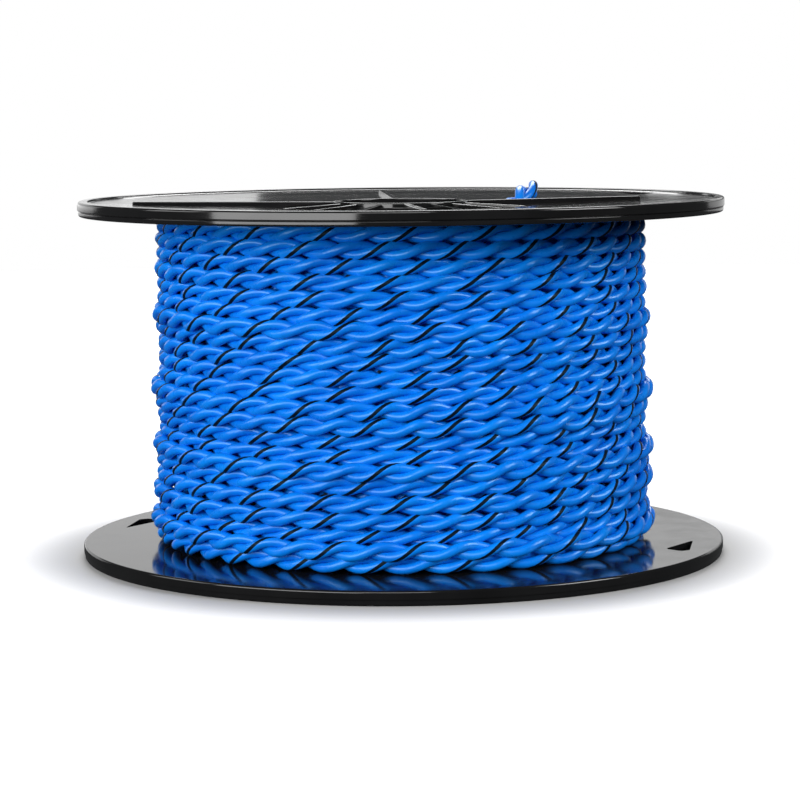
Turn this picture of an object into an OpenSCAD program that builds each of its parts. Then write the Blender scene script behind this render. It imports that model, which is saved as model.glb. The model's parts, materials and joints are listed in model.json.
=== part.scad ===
// Wire spool: two dished flanges, a barrel and an arbor tube, wound with layers of twisted
// two-conductor wire. Millimetres, +Z up, origin at the centre of the lower flange's
// outer rim plane, which is the plane the spool stands on.

/* [Spool] */
// Outside diameter of both flanges
flange_diameter = 165; // [150:1:180]
// Clear distance between the flanges' inner faces
traverse = 83.6; // [70:0.2:100]
// Axial height of the flange rim
rim_height = 3.7; // [3:0.1:5]
// Outside diameter of the barrel that the wire is wound on
barrel_diameter = 60; // [50:1:66]
// Diameter of the arbor hole through the whole spool
arbor_diameter = 31.8; // [30:0.1:32.4]

/* [Flange] */
// Thickness of the web at the hub, where the dish is deepest
web_hub = 1.3; // [1.2:0.1:1.8]
// Thickness of the web where the dish starts to rise to the rim
web_outer = 2.5; // [2.2:0.1:2.7]
// Outside diameter of the raised hub ring
hub_diameter = 34.6; // [34:0.1:38]
// How far the hub ring lies below the rim plane
hub_setback = 0.75; // [0.3:0.05:1.2]
// Number of ribs around the hub, of which every fourth is a long one
gusset_count = 16; // [8:4:20]
// Angle from the X axis to the first of the four long ribs
long_rib_angle = 4.5; // [0:0.5:10]

/* [Wire] */
// Outside diameter of the twisted pair
pair_diameter = 4.9; // [3:0.1:5.5]
// Radial build of one wound layer
layer_pitch = 4.1; // [3.8:0.1:4.4]

/* [Node] */
// Which piece to draw

/* [Hidden] */
$fn = 180;

// Heights of the main planes
inner_low = rim_height;                 // lower flange's inner face
inner_high = rim_height + traverse;     // upper flange's inner face

// Flange
flange_r = flange_diameter / 2;
edge_round = 0.6;                       // rounding of the rim's edges
rim_land = 2.4;                         // width of the flat land on the rim
rim_lip = 0.5;                          // little step from the land into the dish
dish_r = 62;                            // radius where the dish starts to rise
dish_mid_r = 38;                        // radius where the slope steepens towards the hub
web_mid = 2.0;                          // thickness of the web there
dish_hub_r = 28;                        // radius inside which the dish is deepest
band_step = 0.25;                       // the thinner band of the rim is inset this much
band_height = 1.35;                     // height of that thinner band
hub_r = hub_diameter / 2;
hub_height = rim_height - hub_setback;
arbor_r = arbor_diameter / 2;
arbor_chamfer = 0.3;

// Gussets and ribs, as outlines in radius and height above the inner face
gusset_thick = 1.2;
gusset_end_r = 33;
gusset_end_top = 1.8;
gusset_top = 2.6;
rib_thick = 1.6;
rib_top_hub = 2.85;
rib_top_end = 3.5;
rib_reach = [62, 68.5, 68.5, 68.5];     // the first long rib ends nearer the hub

// Tie holes: a pinch slot from a wide end to a narrow tip
tie_tip_r = 75.1;
tie_tip_angle = -10.9;
tie_in_r = 70.8;
tie_out_r = 77;
tie_wide_angle = -22.5;
tie_turn_top = 50;                      // the upper flange sits turned this far

// Start slot, which lets the wire's inner end out beside the barrel
slot_from = [29.2, 13];
slot_to = [31.6, 22];
slot_width = 7;

// Core
barrel_r = barrel_diameter / 2;
barrel_wall = 2.5;
spigot_wall = 2;
spigot_gap = 0.1;
spigot_height = 8;
spigot_r = barrel_r - barrel_wall - spigot_gap;
tube_wall = 2;
socket_height = 6;                      // how far the socket for the arbor tube stands in
socket_wall = 2;

// Route of the wire's inner end: out through the start slot, then lying on the web
tail_route = [[30.2, 11.0, 84.9], [29.1, 14.6, 86.6], [29.6, 18.2, 88.4],
              [31.0, 21.8, 89.9], [32.8, 25.3, 91.0], [34.3, 28.7, 91.6],
              [35.6, 31.9, 91.7]];
tail_sides = 10;

spool_black = [0.06, 0.06, 0.065];
wire_blue = [0.03, 0.35, 0.9];

// ---- Flange ------------------------------------------------------------------------

// Outline of the flange with its inner face on z = 0. The thinner, inset band lies next
// to the inner face, or next to the outer face when flipped is true.
module flange_outline(flipped) {
    in_r = flange_r - (flipped ? 0 : band_step);
    out_r = flange_r - (flipped ? band_step : 0);
    split = flipped ? rim_height - band_height : band_height;
    land_r = flange_r - rim_land;
    polygon([
        [arbor_r, 0],
        [in_r - edge_round, 0], [in_r, edge_round], [in_r, split],
        [out_r, split], [out_r, rim_height - edge_round],
        [out_r - edge_round, rim_height],
        [land_r, rim_height], [land_r - rim_lip, rim_height - rim_lip],
        [dish_r, web_outer], [dish_mid_r, web_mid], [dish_hub_r, web_hub],
        [hub_r, web_hub],
        [hub_r, hub_height - arbor_chamfer], [hub_r - arbor_chamfer, hub_height],
        [arbor_r + arbor_chamfer, hub_height], [arbor_r, hub_height - arbor_chamfer]
    ]);
}

// A radial plate from r0 to r1 whose top runs from height h0 to h1
module radial_plate(angle, r0, r1, h0, h1, thick) {
    rotate([0, 0, angle])
        translate([0, thick / 2, 0])
            rotate([90, 0, 0])
                linear_extrude(thick)
                    polygon([[r0, 0.5], [r1, 0.5], [r1, h1], [r0, h0]]);
}

module ribs() {
    long_count = len(rib_reach);
    for (i = [0 : gusset_count - 1])
        if (i % (gusset_count / long_count) != 0)
            radial_plate(long_rib_angle + i * 360 / gusset_count, hub_r - 0.6,
                         gusset_end_r, gusset_top, gusset_end_top, gusset_thick);
    for (i = [0 : long_count - 1])
        radial_plate(long_rib_angle + i * 360 / long_count, hub_r - 0.6,
                     rib_reach[i], rib_top_hub, rib_top_end, rib_thick);
}

function polar(r, a) = [r * cos(a), r * sin(a)];

module tie_hole(turn) {
    rotate([0, 0, turn])
        translate([0, 0, -1])
            linear_extrude(rim_height + 2)
                polygon([polar(tie_tip_r, tie_tip_angle),
                         polar(tie_in_r, tie_wide_angle + 1.2),
                         polar(tie_in_r + 0.6, tie_wide_angle),
                         polar(tie_out_r - 1.6, tie_wide_angle - 1.2),
                         polar(tie_out_r, tie_wide_angle + 0.4)]);
}

module start_slot() {
    along = slot_to - slot_from;
    translate([slot_from[0], slot_from[1], -1])
        rotate([0, 0, atan2(along[1], along[0])]) {
            cylinder(h = rim_height + 2, r = slot_width / 2);
            translate([norm(along), 0, 0]) cylinder(h = rim_height + 2, r = slot_width / 2);
            translate([0, -slot_width / 2, 0])
                cube([norm(along), slot_width, rim_height + 2]);
        }
}

// Collars on the inner face: one inside the barrel's end, one around the arbor tube's end
module collars() {
    socket_r = arbor_r + tube_wall + spigot_gap;
    ring(spigot_r - spigot_wall, spigot_r, -spigot_height, 0.5);
    ring(socket_r, socket_r + socket_wall, -socket_height, 0.5);
}

// Whole flange moulding with its inner face on z = 0 and its outer face up
module flange(flipped, tie_turn) {
    difference() {
        union() {
            rotate_extrude() flange_outline(flipped);
            ribs();
            collars();
        }
        tie_hole(tie_turn);
        tie_hole(tie_turn + 180);
        start_slot();
    }
}

module top_flange() {
    color(spool_black) translate([0, 0, inner_high]) flange(false, tie_turn_top);
}

// The same shape turned over, so that its dished face is underneath
module bottom_flange() {
    color(spool_black) translate([0, 0, inner_low]) mirror([0, 0, 1]) flange(true, 0);
}

// ---- Core --------------------------------------------------------------------------

module ring(r_in, r_out, z0, z1) {
    translate([0, 0, z0])
        difference() {
            cylinder(h = z1 - z0, r = r_out);
            translate([0, 0, -1]) cylinder(h = z1 - z0 + 2, r = r_in);
        }
}

module barrel() {
    color(spool_black) ring(barrel_r - barrel_wall, barrel_r, inner_low, inner_high);
}

module arbor_tube() {
    color(spool_black) ring(arbor_r, arbor_r + tube_wall, inner_low, inner_high);
}

// ---- Wire --------------------------------------------------------------------------

module winding_layer(i) {
    color(wire_blue)
        ring(barrel_r + (i - 1) * layer_pitch, barrel_r + i * layer_pitch,
             inner_low, inner_high);
}

module winding_layer_1() { winding_layer(1); }
module winding_layer_2() { winding_layer(2); }
module winding_layer_3() { winding_layer(3); }
module winding_layer_4() { winding_layer(4); }
module winding_layer_5() { winding_layer(5); }
module winding_layer_6() { winding_layer(6); }
module winding_layer_7() { winding_layer(7); }
module winding_layer_8() { winding_layer(8); }

function unit(v) = v / norm(v);
function tangent(p, i) =
    unit(p[min(i + 1, len(p) - 1)] - p[max(i - 1, 0)]);
// Point k of the ring around route point i, in the plane across the route
function ring_point(p, i, k, r, n) =
    let (t = tangent(p, i),
         side = unit(cross(t, [0, 0, 1])),
         up = cross(side, t),
         a = 360 * k / n)
    p[i] + r * cos(a) * side + r * sin(a) * up;

module swept_tube(p, r, n) {
    last = len(p) - 1;
    points = [for (i = [0 : last]) for (k = [0 : n - 1]) ring_point(p, i, k, r, n)];
    walls = [for (i = [0 : last - 1]) for (k = [0 : n - 1])
        [i * n + k, i * n + (k + 1) % n, (i + 1) * n + (k + 1) % n, (i + 1) * n + k]];
    start_cap = [[for (k = [0 : n - 1]) n - 1 - k]];
    end_cap = [[for (k = [0 : n - 1]) last * n + k]];
    polyhedron(points, concat(walls, start_cap, end_cap));
}

// The tail starts on the end face of the first layer, so it is cut off level there
module wire_tail() {
    color(wire_blue)
        difference() {
            swept_tube(tail_route, pair_diameter / 2, tail_sides);
            translate([0, 0, inner_high - 20])
                cube([120, 120, 40], center = true);
        }
}

bottom_flange();
top_flange();
barrel();
arbor_tube();
winding_layer_1();
winding_layer_2();
winding_layer_3();
winding_layer_4();
winding_layer_5();
winding_layer_6();
winding_layer_7();
winding_layer_8();
wire_tail();
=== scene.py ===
"""Wire spool: two dished black flanges on a barrel, wound with eight layers of blue twisted pair."""

import json
import math

import bpy
import numpy as np
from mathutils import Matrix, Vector

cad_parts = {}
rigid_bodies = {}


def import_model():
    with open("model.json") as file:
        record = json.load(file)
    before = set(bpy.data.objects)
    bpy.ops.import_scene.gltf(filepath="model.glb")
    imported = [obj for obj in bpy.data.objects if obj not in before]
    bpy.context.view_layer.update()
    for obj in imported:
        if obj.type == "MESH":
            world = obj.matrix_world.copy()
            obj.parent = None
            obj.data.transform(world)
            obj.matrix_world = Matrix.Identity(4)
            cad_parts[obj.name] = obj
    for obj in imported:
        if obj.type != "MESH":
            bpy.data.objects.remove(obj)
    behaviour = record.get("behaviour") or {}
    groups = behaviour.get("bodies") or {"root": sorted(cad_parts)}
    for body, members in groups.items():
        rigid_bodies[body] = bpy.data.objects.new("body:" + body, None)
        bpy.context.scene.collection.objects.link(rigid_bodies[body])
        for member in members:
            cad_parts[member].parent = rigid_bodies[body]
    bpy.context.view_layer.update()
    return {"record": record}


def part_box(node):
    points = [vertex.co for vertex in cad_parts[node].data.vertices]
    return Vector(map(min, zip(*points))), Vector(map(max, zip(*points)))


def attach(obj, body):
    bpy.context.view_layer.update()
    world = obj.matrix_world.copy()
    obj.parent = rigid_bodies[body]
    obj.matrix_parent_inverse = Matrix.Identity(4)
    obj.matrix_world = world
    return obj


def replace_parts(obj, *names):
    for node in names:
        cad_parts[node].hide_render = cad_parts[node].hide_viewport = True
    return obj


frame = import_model()

MM = 0.001
TAU = 2 * math.pi

# ---- Sizes, worked out from the frame --------------------------------------------------

FLANGE_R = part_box("bottom_flange")[1][0]
INNER_LOW, INNER_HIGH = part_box("winding_layer_1")[0][2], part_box("winding_layer_1")[1][2]
RIM_H = INNER_LOW
TOP_PLANE = INNER_HIGH + RIM_H
BARREL_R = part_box("barrel")[1][0]
TUBE_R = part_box("arbor_tube")[1][0]
LAYER_COUNT = 8
LAYER_OUT = [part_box(f"winding_layer_{i + 1}")[1][0] for i in range(LAYER_COUNT)]
LAYER_PITCH = (LAYER_OUT[-1] - LAYER_OUT[0]) / (LAYER_COUNT - 1)
LAYER_R = [r - LAYER_PITCH / 2 for r in LAYER_OUT]
BORE_R = next(m for m in frame["record"]["mounts"] if m["name"] == "arbor_bore")["dims"]["r_mm"] * MM

# ---- Camera ------------------------------------------------------------------------------

VIEW_DISTANCE = 4.24 * 2 * FLANGE_R
VIEW_ABOVE = 0.153 * 2 * FLANGE_R
VIEW_DOWN = math.radians(6.32)
VIEW_ROLL = math.radians(0.5)
camera_data = bpy.data.cameras.new("camera")
camera_data.lens = 122.5
camera_data.sensor_width = 36
camera_data.clip_start = 0.05
camera_data.shift_x = 0.0003
camera = bpy.data.objects.new("camera", camera_data)
bpy.context.collection.objects.link(camera)
camera.location = (0, -VIEW_DISTANCE, TOP_PLANE + VIEW_ABOVE)
camera.rotation_mode = "XYZ"
camera.rotation_euler = (math.radians(90) - VIEW_DOWN, VIEW_ROLL, 0)
bpy.context.scene.camera = camera

# ---- Materials -----------------------------------------------------------------------------


def material(name):
    mat = bpy.data.materials.new(name)
    mat.use_nodes = True
    tree = mat.node_tree
    return mat, tree, tree.nodes["Principled BSDF"]


def node(tree, kind, **values):
    made = tree.nodes.new(kind)
    for key, value in values.items():
        if key in made.inputs:
            made.inputs[key].default_value = value
        else:
            setattr(made, key, value)
    return made


def noise(tree, scale, detail=3.0, rough=0.55, stretch=(1, 1, 1)):
    coords = node(tree, "ShaderNodeTexCoord")
    mapping = node(tree, "ShaderNodeMapping", Scale=stretch)
    made = node(tree, "ShaderNodeTexNoise", Scale=scale, Detail=detail, Roughness=rough)
    tree.links.new(coords.outputs["Object"], mapping.inputs["Vector"])
    tree.links.new(mapping.outputs["Vector"], made.inputs["Vector"])
    return made.outputs["Fac"]


def ramp(tree, source, stops):
    made = node(tree, "ShaderNodeValToRGB")
    elements = made.color_ramp.elements
    while len(elements) < len(stops):
        elements.new(0.5)
    for element, (at, colour) in zip(elements, stops):
        element.position = at
        element.color = (*colour, 1)
    tree.links.new(source, made.inputs["Fac"])
    return made.outputs["Color"]


def spread(tree, source, low, high):
    made = node(tree, "ShaderNodeMapRange")
    made.inputs["From Min"].default_value = 0.3
    made.inputs["From Max"].default_value = 0.7
    made.inputs["To Min"].default_value = low
    made.inputs["To Max"].default_value = high
    tree.links.new(source, made.inputs["Value"])
    return made.outputs["Result"]


def bump(tree, shader, source, strength, distance):
    made = node(tree, "ShaderNodeBump", Strength=strength, Distance=distance)
    tree.links.new(source, made.inputs["Height"])
    tree.links.new(made.outputs["Normal"], shader.inputs["Normal"])


def moulded_plastic(name, rough_low, rough_high):
    """Black polystyrene: a deep gloss with faint haze and flow marks."""
    mat, tree, shader = material(name)
    haze = noise(tree, 38.0, 4.0)
    tree.links.new(
        ramp(tree, haze, [(0.3, (0.0045, 0.0045, 0.0048)), (0.75, (0.010, 0.010, 0.0105))]),
        shader.inputs["Base Color"],
    )
    tree.links.new(
        spread(tree, noise(tree, 120.0, 5.0), rough_low, rough_high),
        shader.inputs["Roughness"],
    )
    shader.inputs["IOR"].default_value = 1.5
    shader.inputs["Specular IOR Level"].default_value = 0.45
    bump(tree, shader, noise(tree, 26.0, 2.0), 0.10, 0.0006)
    return mat


def insulation(name, dark, light, rough_low, rough_high, gloss):
    """Extruded polyethylene: even colour with a slight mottling and a fine surface grain."""
    mat, tree, shader = material(name)
    tree.links.new(
        ramp(tree, noise(tree, 90.0, 4.0), [(0.3, dark), (0.7, light)]),
        shader.inputs["Base Color"],
    )
    tree.links.new(
        spread(tree, noise(tree, 400.0, 4.0), rough_low, rough_high),
        shader.inputs["Roughness"],
    )
    shader.inputs["IOR"].default_value = 1.5
    shader.inputs["Specular IOR Level"].default_value = gloss
    shader.inputs["Specular Tint"].default_value = (0.62, 0.95, 1.0, 1)
    bump(tree, shader, noise(tree, 900.0, 3.0), 0.08, 0.0002)
    return mat


def bare_copper(name):
    """The cut end of a solid conductor, with fine marks from the cutter."""
    mat, tree, shader = material(name)
    marks = noise(tree, 900.0, 3.0, stretch=(1, 6, 1))
    tree.links.new(
        ramp(tree, marks, [(0.3, (0.45, 0.16, 0.07)), (0.7, (0.75, 0.33, 0.17))]),
        shader.inputs["Base Color"],
    )
    shader.inputs["Metallic"].default_value = 1.0
    tree.links.new(spread(tree, marks, 0.25, 0.4), shader.inputs["Roughness"])
    return mat


BLACK = moulded_plastic("spool_black", 0.07, 0.14)
BLUE = insulation("wire_blue", (0.0004, 0.155, 0.70), (0.0010, 0.225, 0.84), 0.24, 0.34, 0.5)
TRACER = insulation("tracer_black", (0.0012, 0.003, 0.008), (0.002, 0.005, 0.014), 0.45, 0.55, 0.12)
COPPER = bare_copper("copper")

# ---- Mesh helpers ----------------------------------------------------------------------------


def build_object(name, verts, faces, materials, face_material=None, smooth=True):
    mesh = bpy.data.meshes.new(name)
    mesh.from_pydata(np.asarray(verts).tolist(), [], faces)
    for mat in materials:
        mesh.materials.append(mat)
    if face_material is not None:
        mesh.polygons.foreach_set("material_index", np.asarray(face_material, np.int32))
    mesh.polygons.foreach_set("use_smooth", np.full(len(mesh.polygons), smooth))
    mesh.update()
    made = bpy.data.objects.new(name, mesh)
    bpy.context.collection.objects.link(made)
    return made


def unit(v):
    return v / np.linalg.norm(v, axis=-1, keepdims=True)


def loop_faces(rings, sides, first=0, closed=False):
    """Quads between rings of points, each ring a closed loop."""
    ring, side = np.meshgrid(
        np.arange(rings if closed else rings - 1), np.arange(sides), indexing="ij"
    )
    after = (ring + 1) % rings
    across = (side + 1) % sides
    return (
        first
        + np.stack(
            [ring * sides + side, ring * sides + across, after * sides + across, after * sides + side],
            -1,
        ).reshape(-1, 4)
    ).tolist()


# ---- Twisted pair ------------------------------------------------------------------------

STRAND_R = 1.23 * MM
CORE_R = 0.51 * MM
STRIPE_ANGLE = math.radians(42)
PAIR_D = 4 * STRAND_R
RINGS_PER_LAY = 18
RINGS_PER_TURN = 365             # of the outer layer: a quarter lay more than 20 lays
LAY = TAU * LAYER_R[-1] * RINGS_PER_LAY / RINGS_PER_TURN


def conductor(line, outward, sides, cut_start, cut_end):
    """One insulated conductor; column 0 of its faces looks along outward.

    A cut end shows the copper core inside the insulation. Materials: 0 insulation,
    1 the column on the outside, 2 copper."""
    along = unit(np.gradient(line, axis=0))
    out = unit(outward - (outward * along).sum(1, keepdims=True) * along)
    side = np.cross(along, out)
    rest = TAU - STRIPE_ANGLE
    turn = np.append(-STRIPE_ANGLE / 2, STRIPE_ANGLE / 2 + rest * np.arange(sides - 1) / (sides - 1))
    ring = (
        np.cos(turn)[None, :, None] * out[:, None, :]
        + np.sin(turn)[None, :, None] * side[:, None, :]
    )
    points = (line[:, None, :] + STRAND_R * ring).reshape(-1, 3)
    rings = len(line)
    faces = loop_faces(rings, sides)
    slots = [1 if k == 0 else 0 for _ in range(rings - 1) for k in range(sides)]
    for at, cut in ((0, cut_start), (rings - 1, cut_end)):
        rim = [at * sides + k for k in range(sides)]
        if cut:
            core = [len(points) + k for k in range(sides)]
            points = np.vstack([points, line[at] + CORE_R * ring[at]])
            rings_of_end = [
                [rim[(k + 1) % sides], rim[k], core[k], core[(k + 1) % sides]]
                for k in range(sides)
            ]
            faces += rings_of_end if at == 0 else [f[::-1] for f in rings_of_end]
            slots += [0] * sides
            rim = core
        faces.append(rim[::-1] if at == 0 else rim)
        slots.append(2 if cut else 0)
    return points, faces, slots


def twisted_pair(name, centre, out, up, phase, sides, cut_start=False, cut_end=False):
    """Two insulated conductors twisted about a centreline; the first has the tracer."""
    points, faces, slots = np.zeros((0, 3)), [], []
    for strand in range(2):
        angle = phase + strand * math.pi
        arm = np.cos(angle)[:, None] * out + np.sin(angle)[:, None] * up
        p, f, s = conductor(centre + STRAND_R * arm, arm, sides, cut_start, cut_end)
        faces += [[len(points) + i for i in face] for face in f]
        slots += [0 if strand and i == 1 else i for i in s]
        points = np.vstack([points, p])
    return build_object(name, points, faces, [BLUE, TRACER, COPPER], slots)


# ---- Winding ---------------------------------------------------------------------------------

TURNS = 22
START_ANGLE = math.radians(20)
CLIMB = 0.15                     # part of a turn in which a layer climbs onto the next
OUTER_TURNS = 21.8               # the wire ends behind the spool
TUCK_TURN = 0.1                  # part of a turn in which the end dips under the others
TUCK_IN, TUCK_DOWN = 3.6 * MM, 2.4 * MM
CONE = 0.8 * MM                  # the winding is this much wider below, and narrower above
SETTLE_STEPS = 90
PULL_BACK, PUSH_APART = 0.06, 0.3
SINK_IN, STAND_OUT = 0.5 * MM, 2.2 * MM
ROW_LOW = INNER_LOW + PAIR_D / 2
ROW_HIGH = INNER_HIGH - PAIR_D / 2


def smooth_noise(seed, at, spacing, amplitude):
    """Smooth random values along a line, with a knot every spacing."""
    count = int(at.max() / spacing) + 4
    knots = np.random.RandomState(seed).uniform(-1, 1, count) * amplitude
    position = at / spacing
    i = position.astype(int)
    f = position - i
    f = f * f * (3 - 2 * f)
    return knots[i] * (1 - f) + knots[i + 1] * f


def ease(x):
    x = np.clip(x, 0, 1)
    return x * x * (3 - 2 * x)


def running_mean(values, reach):
    padded = np.concatenate([values[:1].repeat(reach), values, values[-1:].repeat(reach)])
    return np.convolve(padded, np.ones(2 * reach + 1) / (2 * reach + 1), "valid")


def settle(r, z, phase):
    """Push neighbouring turns apart wherever their conductors would overlap.

    A turn gives way outwards or along the axis, and tension pulls it back in."""
    rest = np.stack([r, z], 1)
    place = rest.copy()
    arm = STRAND_R * np.stack([np.cos(phase), np.sin(phase)], 1)
    n = RINGS_PER_TURN
    for _ in range(SETTLE_STEPS):
        move = PULL_BACK * (rest - place)
        for a in (-1, 1):
            for b in (-1, 1):
                gap = (place[n:] + b * arm[n:]) - (place[:-n] + a * arm[:-n])
                far = np.linalg.norm(gap, axis=1, keepdims=True)
                push = PUSH_APART * np.clip(2 * STRAND_R - far, 0, None) * gap / far
                move[n:] += push
                move[:-n] -= push
        place = place + move
        place[:, 0] = np.clip(place[:, 0], LAYER_R[-1] - SINK_IN, LAYER_R[-1] + STAND_OUT)
        place[:, 1] = np.clip(place[:, 1], ROW_LOW, ROW_HIGH)
        place = np.stack([running_mean(place[:, 0], 2), running_mean(place[:, 1], 2)], 1)
    return place[:, 0], place[:, 1]


def layer_path(layer, travelled):
    """Centreline, radial direction and twist of one layer of the winding.

    Layers are laid down turn by turn, clockwise seen from above, the first one from the
    top flange down, the next one up again, and so on."""
    radius = LAYER_R[layer]
    outer = layer == LAYER_COUNT - 1
    if outer:
        t = np.arange(int(OUTER_TURNS * RINGS_PER_TURN) + 1) / RINGS_PER_TURN
    else:
        rings_per_lay = {0: 10, LAYER_COUNT - 2: 12}.get(layer, 8)
        t = np.linspace(0, TURNS, int(TURNS * TAU * radius / LAY * rings_per_lay))
    turns = t[-1]
    climb = ease((t - (TURNS - CLIMB)) / CLIMB) if not outer else 0 * t
    r = radius + climb * LAYER_PITCH
    share = np.clip((t - 0.5) / (TURNS - 1), 0, 1)
    z = ROW_HIGH + (ROW_LOW - ROW_HIGH) * (share if layer % 2 == 0 else 1 - share)
    phase = -TAU * (travelled + TAU * radius * t) / LAY
    if layer >= LAYER_COUNT - 2:
        loose = 1.0 if outer else 0.4
        inside = loose * ease(t / 0.3) * ease((turns - t) / 0.3)
        r = r + inside * (CONE * (ROW_HIGH + ROW_LOW - 2 * z) / (ROW_HIGH - ROW_LOW)
                          + smooth_noise(11 + layer, t, 0.9, 0.7 * MM)
                          + smooth_noise(21 + layer, t, 0.17, 0.4 * MM))
        z = z + inside * smooth_noise(31 + layer, t, 0.31, 0.8 * MM)
        phase = phase + loose * smooth_noise(41 + layer, t, 0.33, 2.0)
    if outer:
        r, z = settle(r, z, phase)
        tuck = ease((t - (turns - TUCK_TURN)) / TUCK_TURN)
        r = r - tuck * TUCK_IN
        z = z - tuck * TUCK_DOWN
    z = np.clip(z, ROW_LOW, ROW_HIGH)
    angle = START_ANGLE - TAU * t
    out = np.stack([np.cos(angle), np.sin(angle), 0 * angle], 1)
    centre = out * r[:, None]
    centre[:, 2] = z
    return centre, out, phase, travelled + TAU * radius * turns


# The wire's inner end: out through the start slot and along the top flange's web
TAIL_ROUTE = [
    (35.6, 31.9, 91.7),
    (34.3, 28.7, 91.6),
    (32.8, 25.3, 91.0),
    (31.0, 21.8, 89.9),
    (29.6, 18.2, 88.4),
    (29.1, 14.6, 86.6),
]


def smooth_route(points, per_span):
    """A Catmull-Rom curve through the points, short of the last one."""
    p = np.vstack([2 * points[0] - points[1], points, 2 * points[-1] - points[-2]])
    out = []
    for i in range(1, len(p) - 2):
        f = np.linspace(0, 1, per_span, endpoint=False)[:, None]
        a, b, c, d = p[i - 1], p[i], p[i + 1], p[i + 2]
        out.append(
            0.5
            * (2 * b + (c - a) * f + (2 * a - 5 * b + 4 * c - d) * f**2
               + (3 * b - a - 3 * c + d) * f**3)
        )
    return np.vstack(out)


def with_tail(centre, out, phase):
    """The first layer with the wire's free inner end in front of it."""
    route = np.vstack([np.array(TAIL_ROUTE) * MM, centre[:1], centre[4:5]])
    line = smooth_route(route, 10)[: 10 * len(TAIL_ROUTE)]
    steps = np.linalg.norm(np.diff(np.vstack([line, centre[:1]]), axis=0), axis=1)
    before = np.cumsum(steps[::-1])[::-1]
    tail_phase = phase[0] + TAU * before / LAY
    along = unit(np.gradient(np.vstack([line, centre[:2]]), axis=0))[: len(line)]
    up = np.tile([0.0, 0.0, 1.0], (len(line), 1))
    tail_out = unit(np.cross(up, along))
    tail_up = np.cross(along, tail_out)
    tail_out = np.where((tail_out[-1] @ out[0]) > 0, tail_out, -tail_out)
    tail_up = np.where(tail_up[-1][2] > 0, tail_up, -tail_up)
    return (
        np.vstack([line, centre]),
        np.vstack([tail_out, out]),
        np.vstack([tail_up, np.tile([0.0, 0.0, 1.0], (len(centre), 1))]),
        np.append(tail_phase, phase),
    )


def winding():
    travelled = 0.0
    for layer in range(LAYER_COUNT):
        first, outer = layer == 0, layer == LAYER_COUNT - 1
        sides = {0: 12, LAYER_COUNT - 2: 8, LAYER_COUNT - 1: 12}.get(layer, 6)
        centre, out, phase, travelled = layer_path(layer, travelled)
        up = np.tile([0.0, 0.0, 1.0], (len(centre), 1))
        nodes = [f"winding_layer_{layer + 1}"]
        if first:
            centre, out, up, phase = with_tail(centre, out, phase)
            nodes.append("wire_tail")
        cuts = [0, len(centre) // 2, len(centre) - 1] if outer else [0, len(centre) - 1]
        for half in range(len(cuts) - 1):
            part = slice(cuts[half], cuts[half + 1] + 1)
            name = f"wire_layer_{layer + 1}" + (("_lower", "_upper")[half] if outer else "")
            piece = twisted_pair(
                name, centre[part], out[part], up[part], phase[part], sides,
                cut_start=first, cut_end=outer and half == 1,
            )
            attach(piece, "root")
            if half == 0:
                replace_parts(piece, *nodes)


winding()

# ---- Flanges ---------------------------------------------------------------------------------


def rounded_outline(corners, steps=5):
    """A closed outline in millimetres with each corner (x, y, radius) rounded."""
    points = []
    for i, (x, y, radius) in enumerate(corners):
        here = np.array([x, y], float)
        back = np.array(corners[i - 1][:2]) - here
        ahead = np.array(corners[(i + 1) % len(corners)][:2]) - here
        room = 0.45 * min(np.linalg.norm(back), np.linalg.norm(ahead))
        back, ahead = unit(back), unit(ahead)
        half = math.acos(np.clip(back @ ahead, -1, 1)) / 2
        reach = min(radius / math.tan(half), room)
        if half > math.radians(89.9) or reach < 1e-6:
            points.append(here)
            continue
        r = reach * math.tan(half)
        centre = here + unit(back + ahead) * r / math.sin(half)
        start, end = here + back * reach - centre, here + ahead * reach - centre
        a0 = math.atan2(start[1], start[0])
        sweep = (math.atan2(end[1], end[0]) - a0 + math.pi) % TAU - math.pi
        count = max(1, round(steps * abs(sweep) / (math.pi / 2)))
        for k in range(count + 1):
            a = a0 + sweep * k / count
            points.append(centre + r * np.array([math.cos(a), math.sin(a)]))
    return np.array(points)


def lathe(outline, segments):
    turn = np.arange(segments) * TAU / segments
    r, z = outline[:, 0], outline[:, 1]
    verts = np.stack(
        [np.outer(np.cos(turn), r), np.outer(np.sin(turn), r), np.tile(z, (segments, 1))], -1
    ).reshape(-1, 3)
    faces = loop_faces(segments, len(outline), closed=True)
    return verts, [face[::-1] for face in faces]


def prism(outline, levels):
    """The outline at each level (height, growth), joined up and capped."""
    along = unit(np.roll(outline, -1, 0) - outline)
    away = np.stack([along[:, 1], -along[:, 0]], 1)
    away = unit(away + np.roll(away, 1, 0))
    verts = np.vstack(
        [np.column_stack([outline + growth * away, np.full(len(outline), height)])
         for height, growth in levels]
    )
    count = len(outline)
    faces = loop_faces(len(levels), count)
    faces += [list(range(count))[::-1], [(len(levels) - 1) * count + k for k in range(count)]]
    return verts, faces


def turned(verts, degrees):
    a = math.radians(degrees)
    x, y = verts[:, 0], verts[:, 1]
    return np.stack(
        [x * math.cos(a) - y * math.sin(a), x * math.sin(a) + y * math.cos(a), verts[:, 2]], 1
    )


def joined(solids):
    verts, faces = np.zeros((0, 3)), []
    for v, f in solids:
        faces += [[len(verts) + i for i in face] for face in f]
        verts = np.vstack([verts, v])
    return verts, faces


# Sizes of the flange in millimetres
BAND_STEP, BAND_HEIGHT, GROOVE = 0.25, 1.35, 0.25
RIM_LAND, RIM_LIP = 2.4, 0.5
HUB_OUT, HUB_SETBACK = 17.3, 0.75
SPIGOT_INSET, SPIGOT_DEEP = 2.6, 8
SOCKET_GAP, SOCKET_DEEP, COLLAR_WALL = 0.1, 6, 2
WEB = [(62, 2.5, 8), (38, 2.0, 8), (28, 1.3, 4)]        # radius, thickness, rounding
SHARP_ANGLE = math.radians(40)


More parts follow.
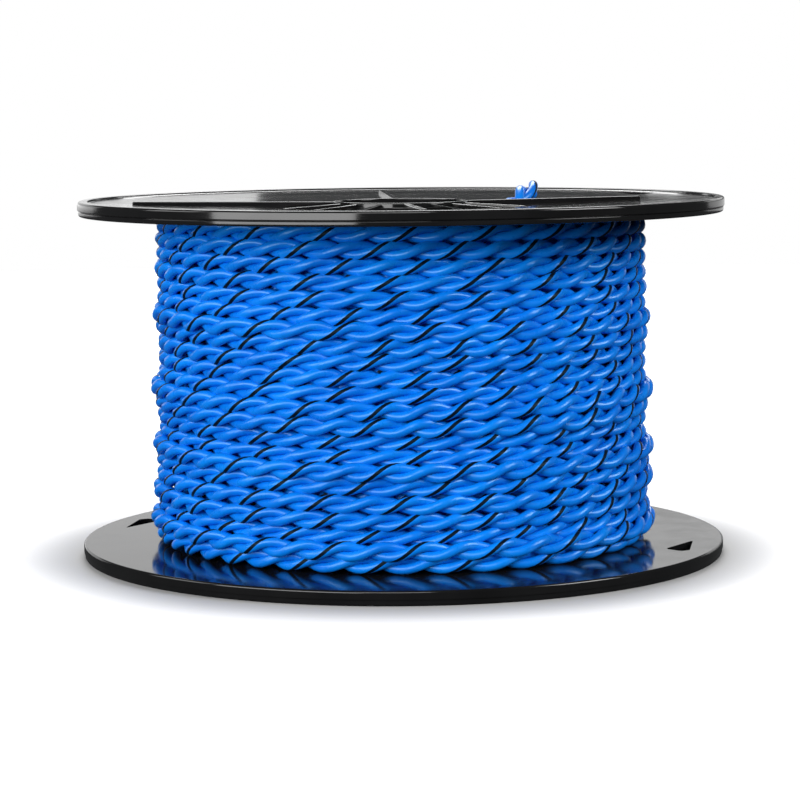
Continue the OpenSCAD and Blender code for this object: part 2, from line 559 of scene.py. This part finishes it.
def outline_of_flange(flipped):
    """The flange's section: its inner face on 0, its outer face at the rim's height."""
    rim, inner = RIM_H / MM, FLANGE_R / MM
    near, far = (inner, inner - BAND_STEP) if flipped else (inner - BAND_STEP, inner)
    split = rim - BAND_HEIGHT if flipped else BAND_HEIGHT
    bore, land, hub_top = BORE_R / MM, inner - RIM_LAND, rim - HUB_SETBACK
    spigot, socket = BARREL_R / MM - SPIGOT_INSET, TUBE_R / MM + SOCKET_GAP
    spigot_in, socket_out = spigot - COLLAR_WALL, socket + COLLAR_WALL
    return rounded_outline([
        (bore, 0, 0.1),
        (socket, 0, 0.1), (socket, -SOCKET_DEEP, 0.3),
        (socket_out, -SOCKET_DEEP, 0.4), (socket_out, 0, 0.5),
        (spigot_in, 0, 0.5), (spigot_in, -SPIGOT_DEEP, 0.4),
        (spigot, -SPIGOT_DEEP, 0.4), (spigot, 0, 0.1),
        (near, 0, 0.6), (near, split - 0.2, 0.15), (near - GROOVE, split, 0.05),
        (far, split + 0.15, 0.2), (far, rim, 0.6),
        (land, rim, 0.35), (land - RIM_LIP, rim - RIM_LIP, 0.4),
        *WEB, (HUB_OUT, WEB[-1][1], 0.5),
        (HUB_OUT, hub_top, 0.3), (bore, hub_top, 0.3),
    ])


def plate(degrees, outline, thick, edge=0.22):
    """A radial plate: an outline of radius and height, with rounded long edges."""
    half = thick / 2
    levels = [(-half, -edge), (-half + 0.3 * edge, -0.3 * edge), (-half + edge, 0),
              (half - edge, 0), (half - 0.3 * edge, -0.3 * edge), (half, -edge)]
    verts, faces = prism(outline, levels)
    upright = np.stack([verts[:, 0], -verts[:, 2], verts[:, 1]], 1)
    return turned(upright, degrees), faces


RIB_ANGLE = 4.5
RIB_COUNT = 16
LONG_EVERY = 4
LONG_REACH = (62, 68.5, 68.5, 68.5)
RIB_START, RIB_FOOT = 16.6, 0.4
GUSSET_END, GUSSET_THICK, LONG_THICK = 33, 1.2, 1.6


def ribs():
    made = []
    for i in range(RIB_COUNT):
        if i % LONG_EVERY:
            end, thick = GUSSET_END, GUSSET_THICK
            crest = [(RIB_START, 2.6, 0), (end, 1.8, 0.2)]
        else:
            end, thick = LONG_REACH[i // LONG_EVERY], LONG_THICK
            crest = [(RIB_START, 2.85, 0), (end, 3.5, 0.5)]
        shape = rounded_outline([(RIB_START, RIB_FOOT, 0), *crest, (end, RIB_FOOT, 0)])[::-1]
        made.append(plate(RIB_ANGLE + i * 360 / RIB_COUNT, shape, thick))
    return joined(made)


def through(outline):
    """A cutter that goes right through the web."""
    return prism(outline, [(-2, 0), (5, 0)])


def polar(r, degrees):
    return r * math.cos(math.radians(degrees)), r * math.sin(math.radians(degrees))


def tie_hole(degrees):
    outline = rounded_outline([
        (*polar(75.1, -10.9), 0.25),
        (*polar(70.8, -21.3), 0.8),
        (*polar(71.4, -22.5), 0.8),
        (*polar(75.4, -23.7), 0.8),
        (*polar(77.0, -22.1), 0.8),
    ])
    verts, faces = through(outline)
    return turned(verts, degrees), faces


SLOT_FROM, SLOT_TO, SLOT_HALF = np.array([29.2, 13.0]), np.array([31.6, 22.0]), 3.5


def start_slot():
    a, b, half = SLOT_FROM, SLOT_TO, SLOT_HALF
    along = unit(b - a)
    side = np.array([along[1], -along[0]])
    corners = [a - along * half + side * half, b + along * half + side * half,
               b + along * half - side * half, a - along * half - side * half]
    outline = rounded_outline([(*c, half * 0.999) for c in corners], 8)
    return through(outline)


def evaluated(obj):
    depsgraph = bpy.context.evaluated_depsgraph_get()
    mesh = bpy.data.meshes.new_from_object(
        obj.evaluated_get(depsgraph), preserve_all_data_layers=True, depsgraph=depsgraph
    )
    obj.modifiers.clear()
    return mesh


def flange(name, flipped, tie_angles):
    solids = [
        lathe(outline_of_flange(flipped), 360),
        ribs(),
        joined([tie_hole(a) for a in tie_angles] + [start_slot()]),
    ]
    made = []
    for i, (verts, faces) in enumerate(solids):
        verts = verts * MM
        if flipped:
            verts = verts * (1, 1, -1) + (0, 0, INNER_LOW)
            faces = [f[::-1] for f in faces]
        else:
            verts = verts + (0, 0, INNER_HIGH)
        made.append(build_object(f"{name}_{i}", verts, faces, [BLACK]))
    body, added, cut = made
    for tool, operation in ((added, "UNION"), (cut, "DIFFERENCE")):
        boolean = body.modifiers.new(tool.name, "BOOLEAN")
        boolean.operation = operation
        boolean.solver = "MANIFOLD"
        boolean.object = tool
    mesh = evaluated(body)
    mesh.set_sharp_from_angle(angle=SHARP_ANGLE)
    body.data = mesh
    body.modifiers.new("normals", "WEIGHTED_NORMAL").keep_sharp = True
    body.data = evaluated(body)
    for tool in (added, cut):
        bpy.data.objects.remove(tool)
    body.name = name
    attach(body, "root")
    return body


TOP_TURN = 50                    # the upper flange's tie holes are turned this far, in degrees
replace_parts(flange("flange_lower", True, (0, 180)), "bottom_flange")
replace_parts(flange("flange_upper", False, (TOP_TURN, TOP_TURN + 180)), "top_flange")

for name in ("barrel", "arbor_tube"):
    for obj in [o for o in bpy.data.objects if o.name == name]:
        for slot in obj.material_slots:
            slot.material = BLACK

# ---- Floor, light ---------------------------------------------------------------------------


def area_light(name, location, size, energy, target=(0, 0, 0.045), size_y=None):
    data = bpy.data.lights.new(name, "AREA")
    data.energy = energy
    data.shape = "RECTANGLE"
    data.size = size
    data.size_y = size_y or size
    lamp = bpy.data.objects.new(name, data)
    bpy.context.collection.objects.link(lamp)
    lamp.location = location
    lamp.visible_camera = False
    aim = Vector(target) - Vector(location)
    lamp.rotation_euler = aim.to_track_quat("-Z", "Y").to_euler()
    return lamp


FLOOR_R = 1.2
FLOOR_SIDES = 96
PAINTED_GLOW_FROM, PAINTED_GLOW_TO = 0.081, 0.112      # painted glow on the floor rises between these radii; inside them it is left out, which paints shade around the spool


def studio():
    mat, tree, shader = material("floor_white")
    tree.links.new(
        ramp(tree, noise(tree, 3.0), [(0.3, (0.50, 0.50, 0.50)), (0.7, (0.54, 0.54, 0.54))]),
        shader.inputs["Base Color"],
    )
    shader.inputs["Roughness"].default_value = 0.7
    shader.inputs["Specular IOR Level"].default_value = 0.2
    # Painted light: the floor glows, with no glow beside the spool and up to 0.8 further out. This
    # paints a ring of shade around the spool and a white floor beyond it. The darkening is partly real
    # shadow from the lamps and partly painted shade. The glow lights nothing else, because the floor
    # is hidden from diffuse and glossy rays.
    shader.inputs["Emission Color"].default_value = (1, 1, 1, 1)
    place = node(tree, "ShaderNodeNewGeometry")
    away = node(tree, "ShaderNodeVectorMath")
    away.operation = "LENGTH"
    tree.links.new(place.outputs["Position"], away.inputs[0])
    painted_glow = node(tree, "ShaderNodeMapRange")
    painted_glow.interpolation_type = "SMOOTHSTEP"
    painted_glow.inputs["From Min"].default_value = PAINTED_GLOW_FROM
    painted_glow.inputs["From Max"].default_value = PAINTED_GLOW_TO
    painted_glow.inputs["To Max"].default_value = 0.8
    tree.links.new(away.outputs["Value"], painted_glow.inputs["Value"])
    tree.links.new(painted_glow.outputs["Result"], shader.inputs["Emission Strength"])
    around = np.arange(FLOOR_SIDES) * TAU / FLOOR_SIDES
    rim = np.stack([FLOOR_R * np.cos(around), FLOOR_R * np.sin(around), 0 * around], 1)
    floor = build_object("floor", rim, [list(range(FLOOR_SIDES))], [mat], smooth=False)
    floor.visible_diffuse = False
    floor.visible_glossy = False

    world = bpy.data.worlds.new("studio")
    bpy.context.scene.world = world
    world.use_nodes = True
    tree = world.node_tree
    dim = tree.nodes["Background"]
    dim.inputs["Color"].default_value = (0.95, 0.98, 1, 1)
    dim.inputs["Strength"].default_value = 0.06
    white = node(tree, "ShaderNodeBackground", Color=(1, 1, 1, 1), Strength=1.0)
    path = node(tree, "ShaderNodeLightPath")
    mix = node(tree, "ShaderNodeMixShader")
    tree.links.new(path.outputs["Is Camera Ray"], mix.inputs[0])
    tree.links.new(dim.outputs[0], mix.inputs[1])
    tree.links.new(white.outputs[0], mix.inputs[2])
    tree.links.new(mix.outputs[0], tree.nodes["World Output"].inputs["Surface"])

    area_light("key_left", (-0.66, -0.79, 0.22), 1.0, 10.5, size_y=0.5)
    area_light("side_left", (-1.1, -0.1, 0.45), 0.5, 3.0)
    area_light("key_right", (0.85, -0.35, 0.5), 0.45, 7.0)
    area_light("front", (-0.05, -1.15, 0.62), 0.5, 4.2)
    area_light("top", (0.0, 0.95, 0.95), 0.7, 14.0)
    area_light("card_left", (-0.75, 1.5, 0.3), 1.4, 2.0, size_y=0.55)
    area_light("card_right", (0.72, 1.5, 0.405), 1.15, 1.1, size_y=0.35)
    area_light("card_low", (0.0, 1.5, 0.065), 3.0, 0.8, size_y=0.13)
    bpy.context.scene.view_settings.view_transform = "Standard"


studio()
